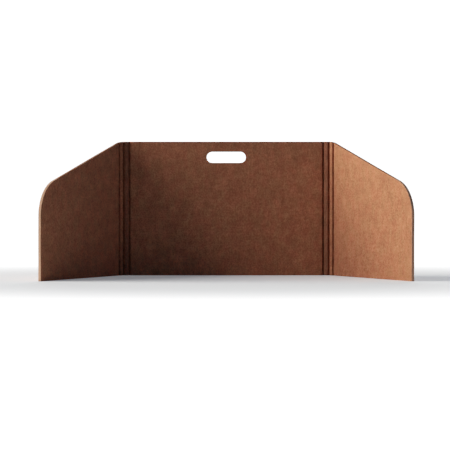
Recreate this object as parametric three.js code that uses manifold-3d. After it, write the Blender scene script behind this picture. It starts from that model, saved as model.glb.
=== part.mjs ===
// Folding study carrel: one pressed felt sheet that stands on a table top.
// Three V-grooves at each corner leave thin webs, and the sheet folds along them.
// Millimetres, +Z up. The reader sits on the -Y side and the wings reach towards them.

import * as THREE from 'three';
import { mergeVertices } from 'three/addons/utils/BufferGeometryUtils.js';
import Module from 'manifold-3d';

// Sheet
const sheetHeight = 400;
const feltThickness = 9;
const edgeRound = 0.9;

// Fold lines, counted along the sheet from the middle of the back panel
const firstFold = 291.3;
const foldPitch = 20;
const foldsPerCorner = 3;
const restFold = THREE.MathUtils.degToRad(20.5);

// V-groove pressed into the reader's side of the sheet
const webThickness = 1.5;
const webHalfWidth = 1.0;
const webGap = 0.3;
const webFootRelief = 0.5;
const grooveFaceHalfWidth = 5.2;

// Wing outline
const wingLength = 440.8;
const slopeAngle = THREE.MathUtils.degToRad(16.85);
const slopeStart = firstFold + (foldsPerCorner - 1) * foldPitch - 7.8;
const shoulderRadius = 105;
const frontRadius = 105;

// Hand hole
const holeWidth = 116.5;
const holeHeight = 32.5;
const holeCentreHeight = 353;

// Colour and roughness of the felt, and of the felt pressed thin under a groove
const feltLook = { color: 0x6e4231, roughness: 0.96, metalness: 0 };
const pressedFeltLook = { color: 0x4a2c20, roughness: 0.98, metalness: 0 };

// Mesh fineness
const shoulderSteps = 8;
const frontSteps = 20;
const holeArcSteps = 16;
const edgeRoundSteps = 2;
const webBendSteps = 6;

const lastFold = firstFold + (foldsPerCorner - 1) * foldPitch;
const wingFront = lastFold + wingLength;
const pivotDepth = webThickness / 2;
const grooveFootHalfWidth = webHalfWidth + webGap;

// How far a cutting prism runs past the felt, along and up the sheet, and through its faces
const overrun = 20;
const faceOverrun = 1;

const wasm = await Module();
wasm.setup();

function toSolid(geometry) {
  const bare = geometry.clone();
  bare.deleteAttribute('normal');
  bare.deleteAttribute('uv');
  const merged = mergeVertices(bare, 1e-4);
  const mesh = new wasm.Mesh({
    numProp: 3,
    vertProperties: new Float32Array(merged.attributes.position.array),
    triVerts: new Uint32Array(merged.index.array),
  });
  return new wasm.Manifold(mesh);
}

function toGeometry(solid) {
  const mesh = solid.getMesh();
  const geometry = new THREE.BufferGeometry();
  geometry.setAttribute('position', new THREE.BufferAttribute(mesh.vertProperties, 3));
  geometry.setIndex(new THREE.BufferAttribute(mesh.triVerts, 1));
  geometry.computeVertexNormals();
  return geometry;
}

// Points on an arc, from one angle to another
function arcPoints(centreAlong, centreUp, radius, from, to, steps) {
  const points = [];
  for (let i = 0; i <= steps; i += 1) {
    const angle = from + ((to - from) * i) / steps;
    const along = centreAlong + radius * Math.cos(angle);
    const up = centreUp + radius * Math.sin(angle);
    points.push([along, up]);
  }
  return points;
}

// Upper edge of one half of the flat sheet: level, shoulder, slope, rounded front corner
function upperEdge() {
  const upright = Math.PI / 2;
  const shoulderTangent = shoulderRadius * Math.tan(slopeAngle / 2);
  const shoulder = arcPoints(
    slopeStart - shoulderTangent,
    sheetHeight - shoulderRadius,
    shoulderRadius,
    upright,
    upright - slopeAngle,
    shoulderSteps,
  );
  const cornerHeight = sheetHeight - (wingFront - slopeStart) * Math.tan(slopeAngle);
  const frontTurn = upright - slopeAngle;
  const frontTangent = frontRadius * Math.tan(frontTurn / 2);
  const front = arcPoints(
    wingFront - frontRadius,
    cornerHeight - frontTangent,
    frontRadius,
    frontTurn,
    0,
    frontSteps,
  );
  return [...shoulder, ...front];
}

// Outline of one half of the flat sheet, from behind the middle to the wing's front edge
function halfSheetOutline() {
  return [[-overrun, 0], [-overrun, sheetHeight], ...upperEdge(), [wingFront, 0]];
}

function wholeSheetOutline() {
  const farEdge = firstFold + overrun / 2;
  return [[-farEdge, 0], [-farEdge, sheetHeight], [farEdge, sheetHeight], [farEdge, 0]];
}

// Height of the sheet's upper edge at a distance along it
function heightAt(along) {
  const edge = [[-overrun, sheetHeight], ...upperEdge()];
  for (let i = 1; i < edge.length; i += 1) {
    const [a, za] = edge[i - 1];
    const [b, zb] = edge[i];
    if (along <= b) {
      return za + ((zb - za) * (along - a)) / (b - a);
    }
  }
  return edge[edge.length - 1][1];
}

function shapeFrom(points, side) {
  const placed = points.map(([along, across]) => new THREE.Vector2(side * along, across));
  return new THREE.Shape(placed);
}

// A felt slab with softly rounded cut edges, standing with its outer skin on Y = 0
function feltSlab(shape) {
  const geometry = new THREE.ExtrudeGeometry(shape, {
    depth: feltThickness - 2 * edgeRound,
    bevelEnabled: true,
    bevelThickness: edgeRound,
    bevelSize: edgeRound,
    bevelOffset: -edgeRound,
    bevelSegments: edgeRoundSteps,
    curveSegments: holeArcSteps,
  });
  geometry.translate(0, 0, edgeRound);
  geometry.rotateX(Math.PI / 2);
  return toSolid(geometry);
}

// A prism from a plan section of (distance along, depth from the outer skin)
function planPrism(section, side, bottom, top) {
  const shape = shapeFrom(section.map(([along, depth]) => [along, -depth]), side);
  const geometry = new THREE.ExtrudeGeometry(shape, {
    depth: top - bottom,
    bevelEnabled: false,
  });
  geometry.translate(0, 0, bottom);
  return toSolid(geometry);
}

// Plan edge of a panel beside a groove. Towards is +1 where the felt ends before the groove
// and -1 where it begins after it.
function grooveEdge(fold, towards) {
  const run = grooveFaceHalfWidth - grooveFootHalfWidth;
  const rise = feltThickness - webThickness;
  const foot = fold - towards * grooveFootHalfWidth;
  const lip = fold - towards * (grooveFaceHalfWidth + (run * faceOverrun) / rise);
  return [[foot, -faceOverrun], [foot, webThickness], [lip, feltThickness + faceOverrun]];
}

function foldLine(number) {
  return firstFold + number * foldPitch;
}

// Turns flat sheet positions into the folded sheet, past a number of folds on one side
function foldedPlace(side, foldsPassed, bend) {
  const place = new THREE.Matrix4();
  for (let i = 0; i < foldsPassed; i += 1) {
    const pivot = new THREE.Vector3(side * foldLine(i), -pivotDepth, 0);
    place.multiply(new THREE.Matrix4().makeTranslation(pivot.x, pivot.y, 0));
    place.multiply(new THREE.Matrix4().makeRotationZ(-side * bend));
    place.multiply(new THREE.Matrix4().makeTranslation(-pivot.x, -pivot.y, 0));
  }
  return place;
}

function namedMesh(name, solid, place, look) {
  const geometry = toGeometry(solid);
  geometry.applyMatrix4(place);
  const mesh = new THREE.Mesh(geometry, new THREE.MeshStandardMaterial(look));
  mesh.name = name;
  return mesh;
}

function handHole() {
  const radius = holeHeight / 2;
  const reach = holeWidth / 2 - radius;
  const hole = new THREE.Path();
  hole.absarc(reach, holeCentreHeight, radius, -Math.PI / 2, Math.PI / 2, false);
  hole.absarc(-reach, holeCentreHeight, radius, Math.PI / 2, (3 * Math.PI) / 2, false);
  hole.closePath();
  return hole;
}

function backPanel() {
  const outline = shapeFrom(wholeSheetOutline(), 1);
  outline.holes.push(handHole());
  const right = grooveEdge(firstFold, 1);
  const left = right.map(([along, depth]) => [-along, depth]).reverse();
  const cut = planPrism([...right, ...left], 1, -overrun, sheetHeight + overrun);
  const solid = wasm.Manifold.intersection(feltSlab(outline), cut);
  return namedMesh('back_panel', solid, new THREE.Matrix4(), feltLook);
}

// A strip between two folds of one corner, counted from the back panel
function cornerStrip(name, side, number) {
  const outline = shapeFrom(halfSheetOutline(), side);
  const near = grooveEdge(foldLine(number), -1);
  const far = grooveEdge(foldLine(number + 1), 1).reverse();
  const cut = planPrism([...near, ...far], side, -overrun, sheetHeight + overrun);
  const solid = wasm.Manifold.intersection(feltSlab(outline), cut);
  const place = foldedPlace(side, number + 1, restFold);
  return namedMesh(name, solid, place, feltLook);
}

function wing(name, side) {
  const outline = shapeFrom(halfSheetOutline(), side);
  const near = grooveEdge(lastFold, -1);
  const front = wingFront + overrun;
  const section = [...near, [front, feltThickness + faceOverrun], [front, -faceOverrun]];
  const cut = planPrism(section, side, -overrun, sheetHeight + overrun);
  const solid = wasm.Manifold.intersection(feltSlab(outline), cut);
  const place = foldedPlace(side, foldsPerCorner, restFold);
  return namedMesh(name, solid, place, feltLook);
}

// Plan section of the web at a fold, bent as the sheet stands
function bentWebSection(fold) {
  const section = [[fold - webHalfWidth, webThickness], [fold - webHalfWidth, 0]];
  for (let i = 0; i <= webBendSteps; i += 1) {
    const angle = (restFold * i) / webBendSteps;
    const along = fold + pivotDepth * Math.sin(angle);
    const depth = pivotDepth - pivotDepth * Math.cos(angle);
    section.push([along, depth]);
  }
  const ahead = webHalfWidth * Math.cos(restFold);
  const inward = webHalfWidth * Math.sin(restFold);
  const skinAlong = pivotDepth * Math.sin(restFold);
  const skinDepth = pivotDepth * Math.cos(restFold);
  section.push([fold + ahead + skinAlong, pivotDepth + inward - skinDepth]);
  section.push([fold + ahead - skinAlong, pivotDepth + inward + skinDepth]);
  section.push([fold - pivotDepth * Math.tan(restFold / 2), webThickness]);
  return section;
}

// The thin web left under a groove. It bends as the fold turns.
function foldWeb(name, side, number) {
  const fold = foldLine(number);
  const top = heightAt(fold + grooveFootHalfWidth) - edgeRound;
  const solid = planPrism(bentWebSection(fold), side, webFootRelief, top);
  const place = foldedPlace(side, number, restFold);
  return namedMesh(name, solid, place, pressedFeltLook);
}

function corner(sideName, side) {
  return [
    foldWeb(`${sideName}_inner_web`, side, 0),
    cornerStrip(`${sideName}_inner_strip`, side, 0),
    foldWeb(`${sideName}_middle_web`, side, 1),
    cornerStrip(`${sideName}_outer_strip`, side, 1),
    foldWeb(`${sideName}_outer_web`, side, 2),
    wing(`${sideName}_wing`, side),
  ];
}

// Moves the pieces so the middle of the footprint is the origin
function centreFootprint(group) {
  const box = new THREE.Box3().setFromObject(group, true);
  const middle = box.getCenter(new THREE.Vector3());
  for (const mesh of group.children) {
    mesh.geometry.translate(-middle.x, -middle.y, -box.min.z);
  }
}

const carrel = new THREE.Group();
carrel.name = 'study_carrel';
carrel.add(backPanel());
carrel.add(...corner('left', -1));
carrel.add(...corner('right', 1));
centreFootprint(carrel);

export default carrel;
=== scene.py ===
"""Looks of the folding felt study carrel: one pressed felt sheet, grooved at its corners.

All lengths are in metres. A point of the sheet is given by its place along the flat sheet
from the middle, its depth from the outer skin, and its height above the table.
"""

import math

import bpy
import numpy as np
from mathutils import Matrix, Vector
from mathutils.geometry import delaunay_2d_cdt


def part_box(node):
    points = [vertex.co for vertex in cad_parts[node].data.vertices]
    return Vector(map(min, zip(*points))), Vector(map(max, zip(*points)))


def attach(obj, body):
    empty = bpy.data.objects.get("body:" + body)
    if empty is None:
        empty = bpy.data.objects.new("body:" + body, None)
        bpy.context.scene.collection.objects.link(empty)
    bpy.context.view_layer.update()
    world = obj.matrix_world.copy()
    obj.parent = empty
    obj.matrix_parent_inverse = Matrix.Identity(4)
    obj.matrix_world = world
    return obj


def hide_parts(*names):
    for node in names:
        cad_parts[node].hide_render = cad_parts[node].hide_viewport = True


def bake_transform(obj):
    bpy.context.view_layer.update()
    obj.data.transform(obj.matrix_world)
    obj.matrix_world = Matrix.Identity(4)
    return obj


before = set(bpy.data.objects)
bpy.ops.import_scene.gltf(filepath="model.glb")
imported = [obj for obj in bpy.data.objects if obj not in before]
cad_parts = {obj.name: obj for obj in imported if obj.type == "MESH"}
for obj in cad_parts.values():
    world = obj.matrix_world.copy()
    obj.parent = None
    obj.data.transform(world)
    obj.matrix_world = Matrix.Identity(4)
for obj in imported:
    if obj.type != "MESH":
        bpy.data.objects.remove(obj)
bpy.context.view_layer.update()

# Sheet, as in the CAD
SHEET_HEIGHT = 0.400
THICKNESS = 0.009
FIRST_FOLD = 0.2913
FOLD_PITCH = 0.020
FOLD_TITLES = ("inner", "middle", "outer")
FOLD_LINES = [FIRST_FOLD + i * FOLD_PITCH for i in range(len(FOLD_TITLES))]
REST_FOLD = math.radians(20.5)
WING_LENGTH = 0.4408
WING_FRONT = FOLD_LINES[-1] + WING_LENGTH
SLOPE = math.radians(16.85)
SLOPE_START = FOLD_LINES[-1] - 0.0078
SHOULDER_RADIUS = 0.105
FRONT_RADIUS = 0.105
HOLE_WIDTH, HOLE_HEIGHT, HOLE_CENTRE = 0.1165, 0.0325, 0.353
REAR_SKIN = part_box("back_panel")[1].y

# Groove, and the web left under it
WEB = 0.0015
WEB_REACH = 0.0013
PIVOT_DEPTH = WEB / 2
GROOVE_REACH = 0.0052
LIP_SOFTNESS = 0.0012

# Shape of the felt's skins
EDGE_ROUND = 0.0007
ROUND_SHARE = 0.45
PILLOW_DEPTH = 0.0006
PILLOW_REACH = 0.006
WAVE_DEPTH = 0.0006

# Painted shade and highlight on the felt's edges and strips, and its pressed grooves with painted
# shade: how far each reaches, and over how much it fades
CUT_EDGE_REACH = 0.0008
PRESS_AND_SHADE_REACH, PRESS_AND_SHADE_FADE = 0.0040, 0.0026
FRONT_HIGHLIGHT_REACH, FRONT_HIGHLIGHT_FADE = 0.13, 0.06

# Fineness of the meshes, and how far their inner points stay from an edge
GRID = 0.006
EDGE_CLEARANCE = 1.25 * EDGE_ROUND
FOLD_CLEARANCE = 0.0003
EDGE_STEPS = 5
SHOULDER_STEPS, FRONT_STEPS, HOLE_STEPS = 14, 48, 20
GROOVE_COLUMNS = (0.0019, 0.0026, 0.0036, 0.0044, 0.0049, 0.0053, 0.0058, 0.0066, 0.008, 0.0104)
WEB_COLUMNS, WEB_ROWS, WEB_END_STEPS = 15, 60, 4

# A length further than any on the sheet, and lengths too short to matter
FAR = 1.0
TINY = 1e-6
MERGED_WITHIN = 1e-7

# Colours of the felt's fibres; the tints of painted shade on the inner strips, of pressed felt with
# painted shade in the grooves, and of painted shade on the cut edges; and the painted highlight on
# the front edges
FIBRE_DARK = (0.186, 0.0580, 0.0269, 1)
FIBRE_MIDDLE = (0.297, 0.0995, 0.0477, 1)
FIBRE_LIGHT = (0.436, 0.172, 0.0907, 1)
STRIP_SHADE_TINT = (0.64, 0.65, 0.72, 1)
PRESS_AND_SHADE_TINT = (0.75, 0.615, 0.56, 1)
CUT_EDGE_SHADE_TINT = (0.60, 0.53, 0.51, 1)
FRONT_EDGE_HIGHLIGHT = (0.48, 0.30, 0.205, 1)

# Backdrop as the camera sees it, the light that it gives, and the floor's own lift as it is seen
SEEN_WHITE = (3.0, 3.0, 3.0, 1)
AMBIENT = (0.066, 0.112, 0.170, 1)
FLOOR_LIFT = (0.17, 0.17, 0.165, 1)
BLACK = (0, 0, 0, 1)

# Floor: its pale colour, and the flattened round patch outside which it fades into the backdrop
FLOOR_COLOUR = (0.85, 0.845, 0.86, 1)
FLOOR_REACH = 40.0
PATCH_SHIFT, PATCH_SQUEEZE = (0.0, 0.12, 0.0), (0.6, 1.0, 1.0)
FADE_START, FADE_END = 0.45, 1.5

# Camera, with its angles in degrees, and its response to light
SENSOR_WIDTH, LENS = 36.0, 224.24
CAMERA_DISTANCE, CAMERA_HEIGHT = 8.39, 0.360
CAMERA_TILT, CAMERA_TURN = 1.43, 0.0258
TONE = ((0.0, 0.0), (0.05, 0.05), (0.14, 0.134), (0.26, 0.242), (0.4, 0.346),
        (0.7, 0.521), (1.0, 0.66), (1.5, 0.83), (2.2, 1.02))


# ---------------------------------------------------------------- outlines on the flat sheet

def arc(centre, radius, start, stop, steps):
    """Points on an arc, with both of its ends."""
    angles = np.linspace(start, stop, steps + 1)
    return [(centre[0] + radius * math.cos(a), centre[1] + radius * math.sin(a)) for a in angles]


def upper_edge():
    """The upper edge of one half of the sheet, from its shoulder to its front edge."""
    upright = math.pi / 2
    turn = upright - SLOPE
    tangent = SHOULDER_RADIUS * math.tan(SLOPE / 2)
    shoulder_centre = (SLOPE_START - tangent, SHEET_HEIGHT - SHOULDER_RADIUS)
    shoulder = arc(shoulder_centre, SHOULDER_RADIUS, upright, turn, SHOULDER_STEPS)
    corner_height = SHEET_HEIGHT - (WING_FRONT - SLOPE_START) * math.tan(SLOPE)
    front_centre = (WING_FRONT - FRONT_RADIUS, corner_height - FRONT_RADIUS * math.tan(turn / 2))
    return shoulder + arc(front_centre, FRONT_RADIUS, turn, 0.0, FRONT_STEPS)


UPPER = np.array([(-FAR, SHEET_HEIGHT)] + upper_edge())


def height_at(along):
    """Height of the sheet's upper edge at a place along it."""
    return float(np.interp(abs(along), UPPER[:, 0], UPPER[:, 1]))


def strip_outline(number):
    """Closed outline of the stretch after a fold, and which of its edges are folds. The stretch
    after the last fold is the wing."""
    start = FOLD_LINES[number] + WEB_REACH
    is_wing = number == len(FOLD_LINES) - 1
    if is_wing:
        stop = WING_FRONT
        end_height = UPPER[-1, 1]
    else:
        stop = start + FOLD_PITCH - 2 * WEB_REACH
        end_height = height_at(stop)
    between = [tuple(p) for p in UPPER if start + TINY < p[0] < stop - TINY]
    top = [(start, height_at(start))] + between + [(stop, end_height)]
    points = [(start, 0.0), (stop, 0.0)] + top[::-1]
    folded = [False] * len(points)
    folded[-1] = True
    folded[1] = not is_wing
    return np.array(points), folded


def back_outline():
    """Closed outline of the back panel. Both of its ends are folds."""
    end = FIRST_FOLD - WEB_REACH
    points = [(-end, 0.0), (end, 0.0), (end, SHEET_HEIGHT), (-end, SHEET_HEIGHT)]
    return np.array(points), [False, True, False, True]


def hand_hole():
    """Outline of the hand hole, clockwise, so that its felt lies on its left."""
    radius = HOLE_HEIGHT / 2
    reach = HOLE_WIDTH / 2 - radius
    right = arc((reach, HOLE_CENTRE), radius, math.pi / 2, -math.pi / 2, HOLE_STEPS)
    left = arc((-reach, HOLE_CENTRE), radius, -math.pi / 2, -3 * math.pi / 2, HOLE_STEPS)
    return np.array(right + left)


def inset(points, distances):
    """The closed line moved to its left by each edge's own distance."""
    after = np.roll(points, -1, axis=0)
    along = after - points
    along /= np.linalg.norm(along, axis=1)[:, None]
    left = np.stack([-along[:, 1], along[:, 0]], axis=1)
    moved = points + left * np.array(distances)[:, None]
    before, its_line = np.roll(moved, 1, axis=0), np.roll(along, 1, axis=0)
    result = []
    for p, d, q, e in zip(before, its_line, moved, along):
        cross = d[0] * e[1] - d[1] * e[0]
        if abs(cross) < TINY:
            result.append(q)
            continue
        step = ((q[0] - p[0]) * e[1] - (q[1] - p[1]) * e[0]) / cross
        result.append(p + d * step)
    return np.array(result)


def dense(points, longest):
    """The closed line with points added, so that no edge is longer than longest. Also says
    which edge of the first line each new edge came from."""
    made, source = [], []
    for i, (p, q) in enumerate(zip(points, np.roll(points, -1, axis=0))):
        steps = max(1, math.ceil(np.linalg.norm(q - p) / longest - 1e-9))
        for k in range(steps):
            made.append(p + (q - p) * k / steps)
            source.append(i)
    return np.array(made), source


def distance_to(places, line, used):
    """Distance from each place to the nearest of a closed line's edges that are used."""
    nearest = np.full(len(places), FAR)
    for p, q, use in zip(line, np.roll(line, -1, axis=0), used):
        if not use:
            continue
        d = q - p
        t = np.clip(((places - p) @ d) / (d @ d), 0, 1)
        gap = np.linalg.norm(places - (p + t[:, None] * d), axis=1)
        nearest = np.minimum(nearest, gap)
    return nearest


def distance_to_cut(places, outline, folded, hole):
    """Distance from each place to the nearest cut edge, which is any edge but a fold."""
    gap = distance_to(places, outline, [not f for f in folded])
    if hole is None:
        return gap
    return np.minimum(gap, distance_to(places, hole, [True] * len(hole)))


def inside(places, line):
    """Which places are inside a closed line."""
    result = np.zeros(len(places), bool)
    for p, q in zip(line, np.roll(line, -1, axis=0)):
        if p[1] == q[1]:
            continue
        crosses = (p[1] > places[:, 1]) != (q[1] > places[:, 1])
        at = (q[0] - p[0]) * (places[:, 1] - p[1]) / (q[1] - p[1]) + p[0]
        result ^= crosses & (places[:, 0] < at)
    return result


def on_felt(places, outline, hole):
    """Which places are inside an outline and not over its hole."""
    result = inside(places, outline)
    if hole is not None:
        result &= ~inside(places, hole)
    return result


# ---------------------------------------------------------------- surfaces of the felt

def smooth_step(t):
    """0 up to 0, 1 from 1 on, and a soft rise between."""
    t = np.clip(t, 0, 1)
    return t * t * (3 - 2 * t)


def fold_distance(along):
    """Distance of each place along the sheet from the nearest fold line."""
    return np.abs(np.abs(along)[:, None] - np.array(FOLD_LINES)[None, :]).min(axis=1)


def inner_depth(along):
    """Depth of the reader's face: full thickness, falling into a groove at each fold."""
    u = fold_distance(along)
    steep = (THICKNESS - WEB) / (GROOVE_REACH - WEB_REACH)
    flank = WEB + (u - WEB_REACH) * steep
    face = THICKNESS - PILLOW_DEPTH * np.exp(-np.clip(u - GROOVE_REACH, 0, None) / PILLOW_REACH)
    blend = np.clip(0.5 + 0.5 * (face - flank) / LIP_SOFTNESS, 0, 1)
    return face + (flank - face) * blend - LIP_SOFTNESS * blend * (1 - blend) / 2


def wave(along, up):
    """Slight unevenness of a big felt sheet, fading out at the folds."""
    slow = np.sin(along * 9.1 + 0.7 * np.sin(up * 11.0)) * np.cos(up * 8.3 + 1.1)
    quick = 0.4 * np.sin(along * 21.0 + up * 13.0 + 0.5) * np.sin(up * 24.0 - along * 7.0)
    calm = smooth_step((fold_distance(along) - 0.004) / 0.05)
    return WAVE_DEPTH * (slow + quick) * calm


def rounding(gap, thickness):
    """How far a face falls back near a cut edge, at a distance from the edge."""
    radius = np.minimum(EDGE_ROUND, thickness * ROUND_SHARE)
    inward = np.clip(radius - gap, 0, None)
    return radius - np.sqrt(np.clip(radius**2 - inward**2, 0, None))


def fold_place(side, passed, points):
    """Flat sheet positions (along, -depth, up) turned past a number of folds on one side."""
    moved = points.copy()
    c, s = math.cos(-side * REST_FOLD), math.sin(-side * REST_FOLD)
    turn = np.array([[c, -s], [s, c]])
    for fold in reversed(FOLD_LINES[:passed]):
        pivot = np.array([side * fold, -PIVOT_DEPTH])
        moved[:, :2] = (moved[:, :2] - pivot) @ turn.T + pivot
    return moved


def bend_in_web(side, fold, points):
    """Flat sheet positions in a web, turned through its fold little by little."""
    share = smooth_step((side * points[:, 0] - fold + WEB_REACH) / (2 * WEB_REACH))
    angle = -side * REST_FOLD * share
    x, y = points[:, 0] - side * fold, points[:, 1] + PIVOT_DEPTH
    moved = points.copy()
    moved[:, 0] = side * fold + x * np.cos(angle) - y * np.sin(angle)
    moved[:, 1] = -PIVOT_DEPTH + x * np.sin(angle) + y * np.cos(angle)
    return moved


def in_frame(points):
    """Points moved so that the outer skin of the back panel is where it is in the frame."""
    return points + np.array([0.0, REAR_SKIN, 0.0])


# ---------------------------------------------------------------- meshes

def new_object(name, points, faces, place, painted_marks):
    """A smooth mesh that remembers each point's place on the flat sheet, and its painted shade,
    highlight and pressing.
    """
    mesh = bpy.data.meshes.new(name)
    mesh.from_pydata([tuple(p) for p in points], [], faces)
    mesh.polygons.foreach_set("use_smooth", [True] * len(mesh.polygons))
    felt_place = mesh.attributes.new("felt_place", "FLOAT_VECTOR", "POINT")
    felt_place.data.foreach_set("vector", place.astype(np.float32).ravel())
    for title, values in painted_marks.items():
        layer = mesh.attributes.new(title, "FLOAT", "POINT")
        layer.data.foreach_set("value", values.astype(np.float32))
    mesh.update()
    piece = bpy.data.objects.new(name, mesh)
    bpy.context.scene.collection.objects.link(piece)
    return piece


def reversed_faces(faces):
    """The faces turned to look the other way, as a mirrored piece needs."""
    return [tuple(reversed(f)) for f in faces]


def edge_loops(outline, folded, hole):
    """Closed lines side by side along the cut edges, closest together where the felt is round."""
    line, source = dense(outline, GRID)
    loops = []
    for step in range(EDGE_STEPS + 1):
        depth = EDGE_ROUND * (1 - math.cos(math.pi / 2 * step / EDGE_STEPS))
        loops.append(inset(line, [0.0 if folded[i] else depth for i in source]))
        if hole is not None:
            hole_line, _ = dense(hole, GRID / 2)
            loops.append(inset(hole_line, [depth] * len(hole_line)))
    return loops


def skin_grid(outline, folded, hole):
    """Points spread over a stretch of the sheet, in columns that stand closer beside a fold."""
    low, high = outline[:, 0].min(), outline[:, 0].max()
    columns = set()
    for fold in FOLD_LINES:
        for reach in GROOVE_COLUMNS:
            for x in (fold - reach, fold + reach):
                columns.update((round(x, 6), round(-x, 6)))
    steps = max(2, round((high - low) / GRID))
    for x in np.linspace(low, high, steps + 1):
        if fold_distance(np.array([x]))[0] > 2 * GRID:
            columns.add(round(float(x), 6))
    rows = np.linspace(0.0, SHEET_HEIGHT, round(SHEET_HEIGHT / GRID) + 1)
    grid = np.array([(x, z) for x in sorted(columns) if low < x < high for z in rows])
    keep = on_felt(grid, outline, hole)
    keep &= distance_to_cut(grid, outline, folded, hole) > EDGE_CLEARANCE
    keep &= distance_to(grid, outline, folded) > FOLD_CLEARANCE
    return grid[keep]


def skin_layout(outline, folded, hole):
    """Triangles over a stretch of the flat sheet, close together at its edges and folds."""
    loops = edge_loops(outline, folded, hole)
    grid = skin_grid(outline, folded, hole)
    points = [Vector(p) for loop in loops for p in loop] + [Vector(p) for p in grid]
    edges, start = [], 0
    for loop in loops:
        edges += [(start + i, start + (i + 1) % len(loop)) for i in range(len(loop))]
        start += len(loop)
    made, _, faces, _, _, _ = delaunay_2d_cdt(points, edges, [], 0, MERGED_WITHIN)
    flat = np.array([(p.x, p.y) for p in made])
    middles = np.array([flat[list(f)].mean(axis=0) for f in faces])
    faces = [f for f, kept in zip(faces, on_felt(middles, outline, hole)) if kept]
    used = sorted({i for f in faces for i in f})
    index = {old: new for new, old in enumerate(used)}
    return flat[used], [tuple(index[i] for i in f) for f in faces]


def border_edges(faces):
    """Edges that only one face uses, in that face's order."""
    edges = [edge for face in faces for edge in zip(face, face[1:] + face[:1])]
    seen = set(edges)
    return [(a, b) for a, b in edges if (b, a) not in seen]


def panel_painted_marks(along, gap, strip_shade_amount, ring):
    """Shares of the painted marks for both skins and the middle of the cut edge: the cut edge, from
    -1 where it has painted shade to 1 where it has a painted highlight at the wings' front, the felt
    pressed into a groove with painted shade on it, and painted shade on the inner strips."""
    cut_edge = np.clip(1 - gap / CUT_EDGE_REACH, 0, 1)
    front = smooth_step((along - WING_FRONT + FRONT_HIGHLIGHT_REACH) / FRONT_HIGHLIGHT_FADE)
    # Painted shade on the cut edges, turning to a painted highlight at the wings' front edges.
    edge_shade_and_highlight = cut_edge * (2 * front - 1)
    # Pressed felt near the folds, with painted shade in the grooves.
    press_and_shade = 1 - smooth_step((fold_distance(along) - PRESS_AND_SHADE_REACH) / PRESS_AND_SHADE_FADE)
    # Painted shade on the inner strips, on the reader's face only.
    strip_shade = strip_shade_amount * (1 - press_and_shade)
    return {
        "felt_edge_shade_and_highlight": np.concatenate([edge_shade_and_highlight, edge_shade_and_highlight, edge_shade_and_highlight[ring]]),
        "felt_press_and_shade": np.concatenate([press_and_shade, press_and_shade * 0, press_and_shade[ring] / 2]),
        "felt_strip_shade": np.concatenate([strip_shade, strip_shade * 0, strip_shade[ring] / 2]),
    }


def felt_panel(name, side, passed, outline, folded, hole=None, strip_shade_amount=0.0):
    """A stretch of the sheet between folds: two skins, and a soft cut edge round them."""
    flat, faces = skin_layout(outline, folded, hole)
    along, up = flat[:, 0], flat[:, 1]
    gap = distance_to_cut(flat, outline, folded, hole)
    thickness = inner_depth(along)
    lean = wave(side * along, up)
    fall = rounding(gap, thickness)
    near = thickness - fall + lean
    far = fall + lean
    count = len(flat)
    border = border_edges(faces)
    ring = sorted({i for edge in border for i in edge})
    in_ring = {old: 2 * count + k for k, old in enumerate(ring)}
    depth = np.concatenate([near, far, (near[ring] + far[ring]) / 2])
    place = np.stack([
        side * np.concatenate([along, along, along[ring]]),
        -depth,
        np.concatenate([up, up, up[ring]]),
    ], axis=1)
    faces = faces + [tuple(i + count for i in reversed(f)) for f in faces]
    for a, b in border:
        faces.append((b, a, in_ring[a], in_ring[b]))
        faces.append((in_ring[b], in_ring[a], a + count, b + count))
    if side < 0:
        faces = reversed_faces(faces)
    points = in_frame(fold_place(side, passed, place))
    return new_object(name, points, faces, place, panel_painted_marks(along, gap, strip_shade_amount, ring))


def web_rows(top):
    """Heights of a web's cross lines, close together at its two ends."""
    bend = math.pi / 2 / WEB_END_STEPS
    ends = [WEB * ROUND_SHARE * (1 - math.cos(bend * k)) for k in range(WEB_END_STEPS + 1)]
    middle = list(np.linspace(ends[-1], top - ends[-1], WEB_ROWS))[1:-1]
    return ends + middle + [top - e for e in reversed(ends)]


def web_faces(wide, tall):
    """Faces of a web of two skins, each of tall rows of wide points, and of its four edges."""
    count = wide * tall
    faces = []
    for r in range(tall - 1):
        for c in range(wide - 1):
            a = r * wide + c
            faces.append((a, a + 1, a + wide + 1, a + wide))
            faces.append((a + count, a + count + wide, a + count + wide + 1, a + count + 1))
    for r in range(tall - 1):
        a, b = r * wide, (r + 1) * wide
        faces.append((a, b, b + count, a + count))
        a, b = a + wide - 1, b + wide - 1
        faces.append((b, a, a + count, b + count))
    for a in range(wide - 1):
        b = a + wide * (tall - 1)
        faces.append((a + 1, a, a + count, a + 1 + count))
        faces.append((b, b + 1, b + 1 + count, b + count))
    return faces


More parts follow.
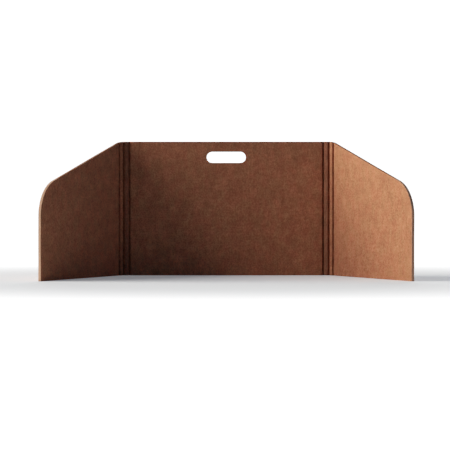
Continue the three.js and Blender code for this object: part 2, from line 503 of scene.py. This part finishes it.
def felt_web(name, side, number):
    """The thin web under a groove, bent as the sheet stands. Also gives its two ends."""
    fold = FOLD_LINES[number]
    height = height_at(fold)
    across = np.linspace(-WEB_REACH, WEB_REACH, WEB_COLUMNS)
    rows = web_rows(height)
    place = []
    for is_near in (True, False):
        for z in rows:
            for u in across:
                top = height_at(fold + u)
                up = z * top / height
                fall = rounding(min(up, top - up), WEB)
                depth = WEB - fall if is_near else fall
                place.append((side * (fold + u), -depth, up))
    place = np.array(place)
    faces = web_faces(len(across), len(rows))
    if side < 0:
        faces = reversed_faces(faces)
    plain = np.zeros(len(place))
    # The web's near skin, the floor of the groove, gets pressed felt with painted shade.
    press_and_shade = plain.copy()
    press_and_shade[:len(place) // 2] = 1
    painted_marks = {"felt_edge_shade_and_highlight": plain, "felt_press_and_shade": press_and_shade, "felt_strip_shade": plain}
    reach = np.array([-WEB_REACH, WEB_REACH])
    ends = np.array([(side * (fold + u), -PIVOT_DEPTH, SHEET_HEIGHT / 2) for u in reach])
    place_now, ends_now = [
        in_frame(fold_place(side, number, bend_in_web(side, fold, p))) for p in (place, ends)
    ]
    return new_object(name, place_now, faces, place, painted_marks), tuple(ends_now[0]), tuple(ends_now[1])


# ---------------------------------------------------------------- nodes of the materials

def connect(links, value, socket):
    """Gives a socket its value, which is a number, a colour or another node's output."""
    if isinstance(value, (int, float, tuple)):
        socket.default_value = value
    else:
        links.new(value, socket)


def add_noise(nodes, links, vector, stretch, scale, detail, roughness=0.6):
    """A noise pattern on the flat sheet, longer along one direction than the others."""
    mapping = nodes.new("ShaderNodeMapping")
    mapping.inputs["Scale"].default_value = stretch
    links.new(vector, mapping.inputs["Vector"])
    noise = nodes.new("ShaderNodeTexNoise")
    noise.inputs["Scale"].default_value = scale
    noise.inputs["Detail"].default_value = detail
    noise.inputs["Roughness"].default_value = roughness
    links.new(mapping.outputs["Vector"], noise.inputs["Vector"])
    return noise.outputs["Fac"]


def spread(nodes, links, value, low, high):
    """The value stretched, so that low and high become 0 and 1."""
    stretch = nodes.new("ShaderNodeMapRange")
    stretch.inputs["From Min"].default_value = low
    stretch.inputs["From Max"].default_value = high
    links.new(value, stretch.inputs["Value"])
    return stretch.outputs["Result"]


def mixed(nodes, links, share, first, second, kind="MIX"):
    """A blend of two colours. Each is a colour or the output of a node."""
    mix = nodes.new("ShaderNodeMix")
    mix.data_type = "RGBA"
    mix.blend_type = kind
    connect(links, share, mix.inputs[0])
    connect(links, first, mix.inputs[6])
    connect(links, second, mix.inputs[7])
    return mix.outputs[2]


def tinted(nodes, links, share, colour, tint):
    """The colour, and as much of its product with a tint as the share says."""
    product = mixed(nodes, links, 1.0, colour, tint, "MULTIPLY")
    return mixed(nodes, links, share, colour, product)


def math_node(nodes, links, operation, *values):
    """The result of an operation. Each value is a number or the output of a node."""
    node = nodes.new("ShaderNodeMath")
    node.operation = operation
    for value, socket in zip(values, node.inputs):
        connect(links, value, socket)
    return node.outputs[0]


def attribute(nodes, title, output="Fac"):
    """Values that the meshes carry for each of their points."""
    node = nodes.new("ShaderNodeAttribute")
    node.attribute_name = title
    return node.outputs[output]


def add_bump(nodes, links, height, strength, distance):
    """Fine relief that follows a pattern."""
    bump = nodes.new("ShaderNodeBump")
    bump.inputs["Strength"].default_value = strength
    bump.inputs["Distance"].default_value = distance
    links.new(height, bump.inputs["Height"])
    return bump


def seen_or_lit(nodes, links, seen, lit):
    """A backdrop's colour: one as the camera sees it, and another for the light that it gives."""
    path = nodes.new("ShaderNodeLightPath")
    return mixed(nodes, links, path.outputs["Is Camera Ray"], lit, seen)


# ---------------------------------------------------------------- felt

def felt_colour(nodes, links, vector, fibres, flecks):
    """Light and dark fibres mixed, with strands both ways, paler flecks and soft clouds."""
    fibre_share = spread(nodes, links, fibres, 0.36, 0.64)
    colour = mixed(nodes, links, fibre_share, FIBRE_DARK, FIBRE_LIGHT)
    colour = mixed(nodes, links, 0.45, colour, FIBRE_MIDDLE)
    fleck_share = math_node(nodes, links, "MULTIPLY", spread(nodes, links, flecks, 0.56, 0.74), 0.35)
    colour = mixed(nodes, links, fleck_share, colour, FIBRE_LIGHT)

    upright = add_noise(nodes, links, vector, (1.0, 1.0, 0.25), 150.0, 3.0)
    lying = add_noise(nodes, links, vector, (0.25, 1.0, 1.0), 150.0, 3.0)
    clouds = add_noise(nodes, links, vector, (1.0, 1.0, 0.75), 38.0, 4.0)
    warmth = add_noise(nodes, links, vector, (1.0, 1.0, 0.6), 55.0, 2.0, 0.5)
    strand_low, strand_high = (0.93, 0.925, 0.92, 1), (1.07, 1.075, 1.08, 1)
    cloud_low, cloud_high = (0.90, 0.895, 0.89, 1), (1.10, 1.105, 1.11, 1)
    warm, cool = (1.03, 0.97, 0.98, 1), (0.97, 1.03, 1.0, 1)
    layers = (
        (upright, 0.35, strand_low, strand_high),
        (lying, 0.35, strand_low, strand_high),
        (clouds, 0.35, cloud_low, cloud_high),
        (warmth, 0.38, warm, cool),
    )
    for noise, low, first, second in layers:
        tone = mixed(nodes, links, spread(nodes, links, noise, low, 1 - low), first, second)
        colour = mixed(nodes, links, 1.0, colour, tone, "MULTIPLY")
    return colour


def painted_shade_and_press_colour(nodes, links, colour):
    """The felt's colour with painted shade on the inner strips, pressed felt with painted shade in
    the grooves, painted shade on the cut edges, and a painted highlight on the front edges.
    """
    edge_shade_and_highlight = attribute(nodes, "felt_edge_shade_and_highlight")
    # Painted shade on the inner strips, then pressed felt with painted shade in the grooves.
    colour = tinted(nodes, links, attribute(nodes, "felt_strip_shade"), colour, STRIP_SHADE_TINT)
    colour = tinted(nodes, links, attribute(nodes, "felt_press_and_shade"), colour, PRESS_AND_SHADE_TINT)
    # Painted shade on the cut edges.
    colour = tinted(nodes, links, spread(nodes, links, edge_shade_and_highlight, 0.0, -1.0), colour, CUT_EDGE_SHADE_TINT)
    # Painted highlight on the wings' front edges.
    highlighted = mixed(nodes, links, 0.55, colour, FRONT_EDGE_HIGHLIGHT)
    return mixed(nodes, links, spread(nodes, links, edge_shade_and_highlight, 0.0, 1.0), colour, highlighted)


def felt_material():
    """Brown needle felt with a soft nap."""
    material = bpy.data.materials.new("brown_felt")
    material.use_nodes = True
    nodes, links = material.node_tree.nodes, material.node_tree.links
    shader = nodes["Principled BSDF"]
    vector = attribute(nodes, "felt_place", "Vector")
    fibres = add_noise(nodes, links, vector, (1.0, 1.0, 0.7), 300.0, 4.0, 0.65)
    flecks = add_noise(nodes, links, vector, (1.0, 1.0, 0.9), 520.0, 3.0, 0.7)

    colour = painted_shade_and_press_colour(nodes, links, felt_colour(nodes, links, vector, fibres, flecks))
    links.new(colour, shader.inputs["Base Color"])
    rough = math_node(nodes, links, "MULTIPLY_ADD", fibres, -0.12, 1.0)
    links.new(rough, shader.inputs["Roughness"])
    shader.inputs["Specular IOR Level"].default_value = 0.12
    shader.inputs["Sheen Weight"].default_value = 0.15
    shader.inputs["Sheen Roughness"].default_value = 0.45
    shader.inputs["Sheen Tint"].default_value = (1.0, 0.62, 0.35, 1)

    matting = add_bump(nodes, links, fibres, 0.5, 0.0022)
    nap = add_bump(nodes, links, flecks, 0.55, 0.0010)
    links.new(matting.outputs["Normal"], nap.inputs["Normal"])
    links.new(nap.outputs["Normal"], shader.inputs["Normal"])
    return material


# ---------------------------------------------------------------- the carrel

def make_back(felt):
    """The wide middle panel with the hand hole."""
    outline, folded = back_outline()
    back = felt_panel("felt_back", 1, 0, outline, folded, hand_hole())
    back.data.materials.append(felt)
    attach(back, "back")
    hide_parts("back_panel")


def make_corner(felt, name, side):
    """One side's webs, strips and wing, from the back panel outwards."""
    chain = ["back", f"{name}_inner_strip", f"{name}_outer_strip", f"{name}_wing"]
    for number, title in enumerate(FOLD_TITLES):
        web, start, end = felt_web(f"felt_{name}_{title}_web", side, number)
        web.data.materials.append(felt)
        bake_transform(web)
        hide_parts(f"{name}_{title}_web")

        node = chain[number + 1]
        outline, folded = strip_outline(number)
        # The inner strips get painted shade.
        strip_shade_amount = 1.0 if title == "inner" else 0.0
        panel = felt_panel(f"felt_{node}", side, number + 1, outline, folded, strip_shade_amount=strip_shade_amount)
        panel.data.materials.append(felt)
        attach(panel, node)
        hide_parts(node)


def make_carrel():
    """The whole sheet, in one felt."""
    felt = felt_material()
    make_back(felt)
    make_corner(felt, "left", -1)
    make_corner(felt, "right", 1)


# ---------------------------------------------------------------- floor, light and camera

def distance_fade(nodes, links):
    """0 on the floor round the carrel, and 1 further away."""
    place = nodes.new("ShaderNodeTexCoord")
    squeeze = nodes.new("ShaderNodeMapping")
    squeeze.inputs["Location"].default_value = PATCH_SHIFT
    squeeze.inputs["Scale"].default_value = PATCH_SQUEEZE
    radius = nodes.new("ShaderNodeVectorMath")
    radius.operation = "LENGTH"
    fade = nodes.new("ShaderNodeMapRange")
    fade.interpolation_type = "SMOOTHSTEP"
    fade.inputs["From Min"].default_value = FADE_START
    fade.inputs["From Max"].default_value = FADE_END
    links.new(place.outputs["Object"], squeeze.inputs["Vector"])
    links.new(squeeze.outputs["Vector"], radius.inputs[0])
    links.new(radius.outputs["Value"], fade.inputs["Value"])
    return fade.outputs["Result"]


def floor_material():
    """Pale near the carrel, turning to the plain white of the backdrop further away."""
    material = bpy.data.materials.new("pale_floor")
    material.use_nodes = True
    nodes, links = material.node_tree.nodes, material.node_tree.links
    shader = nodes["Principled BSDF"]
    shader.inputs["Base Color"].default_value = FLOOR_COLOUR
    shader.inputs["Roughness"].default_value = 0.85
    shader.inputs["Specular IOR Level"].default_value = 0.2
    shader.inputs["Emission Strength"].default_value = 1.0
    links.new(seen_or_lit(nodes, links, FLOOR_LIFT, BLACK), shader.inputs["Emission Color"])
    glow = nodes.new("ShaderNodeEmission")
    links.new(seen_or_lit(nodes, links, SEEN_WHITE, AMBIENT), glow.inputs["Color"])
    mix = nodes.new("ShaderNodeMixShader")
    links.new(distance_fade(nodes, links), mix.inputs["Fac"])
    links.new(shader.outputs["BSDF"], mix.inputs[1])
    links.new(glow.outputs["Emission"], mix.inputs[2])
    links.new(mix.outputs["Shader"], nodes["Material Output"].inputs["Surface"])
    return material


def make_floor():
    """A wide flat floor under the carrel."""
    mesh = bpy.data.meshes.new("floor")
    far = FLOOR_REACH
    corners = [(-far, -far, 0), (far, -far, 0), (far, far, 0), (-far, far, 0)]
    mesh.from_pydata(corners, [], [(0, 1, 2, 3)])
    mesh.materials.append(floor_material())
    floor = bpy.data.objects.new("floor", mesh)
    bpy.context.scene.collection.objects.link(floor)


def make_camera():
    """A long lens, far in front of the carrel and a little below its top, looking slightly down."""
    data = bpy.data.cameras.new("camera")
    data.sensor_width = SENSOR_WIDTH
    data.lens = LENS
    data.clip_end = 200.0
    camera = bpy.data.objects.new("camera", data)
    camera.location = (0.0, REAR_SKIN - CAMERA_DISTANCE, CAMERA_HEIGHT)
    camera.rotation_euler = (math.radians(90 - CAMERA_TILT), 0.0, math.radians(CAMERA_TURN))
    bpy.context.scene.collection.objects.link(camera)
    bpy.context.scene.camera = camera


def sun(name, azimuth, elevation, spread_degrees, strength, colour=(1, 1, 1)):
    """A soft distant light. Azimuth 0 is the reader's side, and -90 is the left."""
    data = bpy.data.lights.new(name, "SUN")
    data.angle = math.radians(spread_degrees)
    data.energy = strength
    data.color = colour
    lamp = bpy.data.objects.new(name, data)
    turn, lift = math.radians(azimuth), math.radians(elevation)
    level = math.cos(lift)
    towards = Vector((math.sin(turn) * level, -math.cos(turn) * level, math.sin(lift)))
    lamp.rotation_euler = towards.to_track_quat("Z", "Y").to_euler()
    bpy.context.scene.collection.objects.link(lamp)


def make_light():
    """A plain world, two soft warm suns low on the left, and one from behind."""
    world = bpy.data.worlds.new("studio")
    world.use_nodes = True
    nodes, links = world.node_tree.nodes, world.node_tree.links
    links.new(seen_or_lit(nodes, links, SEEN_WHITE, AMBIENT), nodes["Background"].inputs["Color"])
    bpy.context.scene.world = world
    sun("key_high", -78, 27, 41, 3.6, (1.0, 0.97, 0.92))
    sun("key_low", -97, 10, 37, 6.9, (1.0, 1.0, 0.92))
    sun("back_fill", 180, 20, 50, 2.7)


def make_tone():
    """A gentle shoulder, as a camera has: bright felt turns paler, and shadows keep their colour."""
    view = bpy.context.scene.view_settings
    view.view_transform = "Standard"
    view.use_curve_mapping = True
    tone = view.curve_mapping
    tone.use_clip = False
    curve = tone.curves[3]
    curve.points[0].location = TONE[0]
    curve.points[1].location = TONE[-1]
    for x, y in TONE[1:-1]:
        curve.points.new(x, y)
    tone.update()


make_camera()
make_floor()
make_light()
make_carrel()
make_tone()
